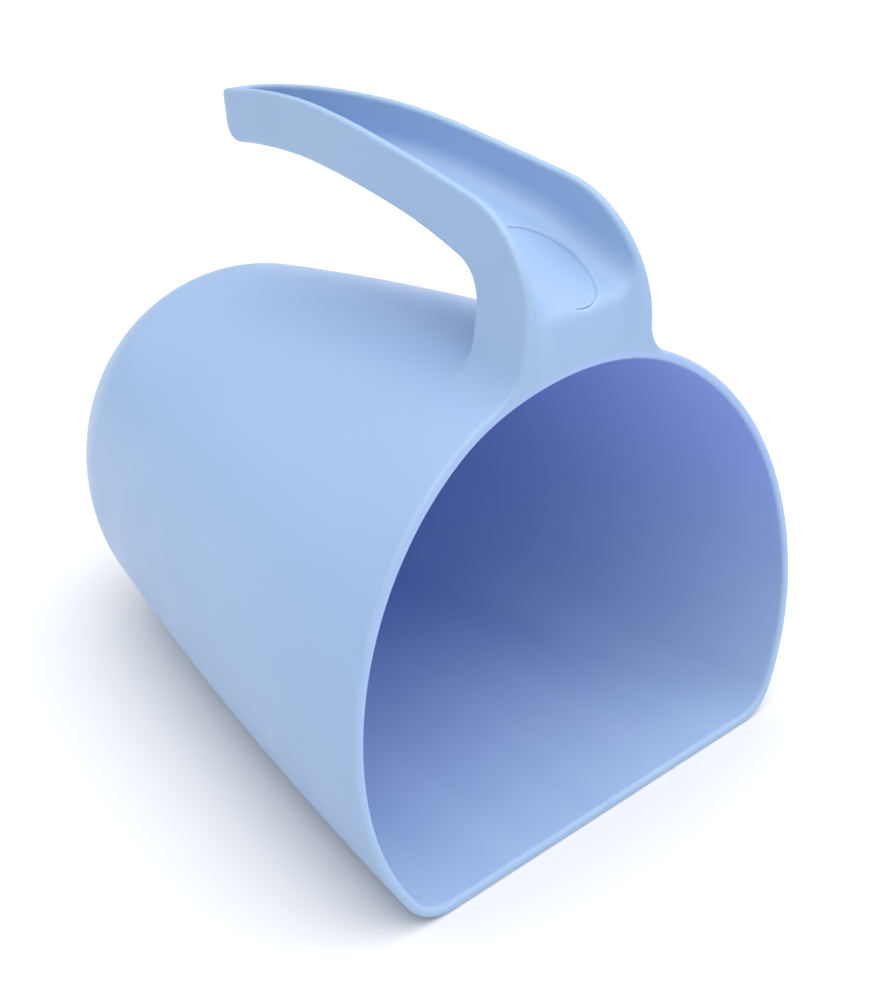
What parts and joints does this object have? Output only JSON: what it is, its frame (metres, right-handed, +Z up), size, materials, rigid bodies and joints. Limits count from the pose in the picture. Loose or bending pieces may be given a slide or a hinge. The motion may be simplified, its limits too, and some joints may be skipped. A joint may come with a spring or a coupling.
{
  "type": "feed scoop",
  "caption": "Moulded scoop with a D-shaped mouth, a tapering bowl with a rounded closed end, and a channel-section handle that curves back over the bowl.",
  "frame": {"origin": "middle of the scoop's footprint, at the level of the flat floor's underside", "axes": "+Z up from the flat floor, +Y from the mouth to the rounded closed end, +X to the right when looking into the mouth"},
  "size_m": [0.17, 0.2198, 0.1799],
  "materials": {
    "moulding": "satin, light periwinkle blue, coloured right through"
  },
  "bodies": {
    "root": {"mouth_rim": "moulding", "bowl_wall": "moulding", "bowl_floor": "moulding", "bowl_end": "moulding", "handle_neck": "moulding", "handle_grip": "moulding", "handle_tip": "moulding", "thumb_pad": "moulding"}
  },
  "joints": []
}
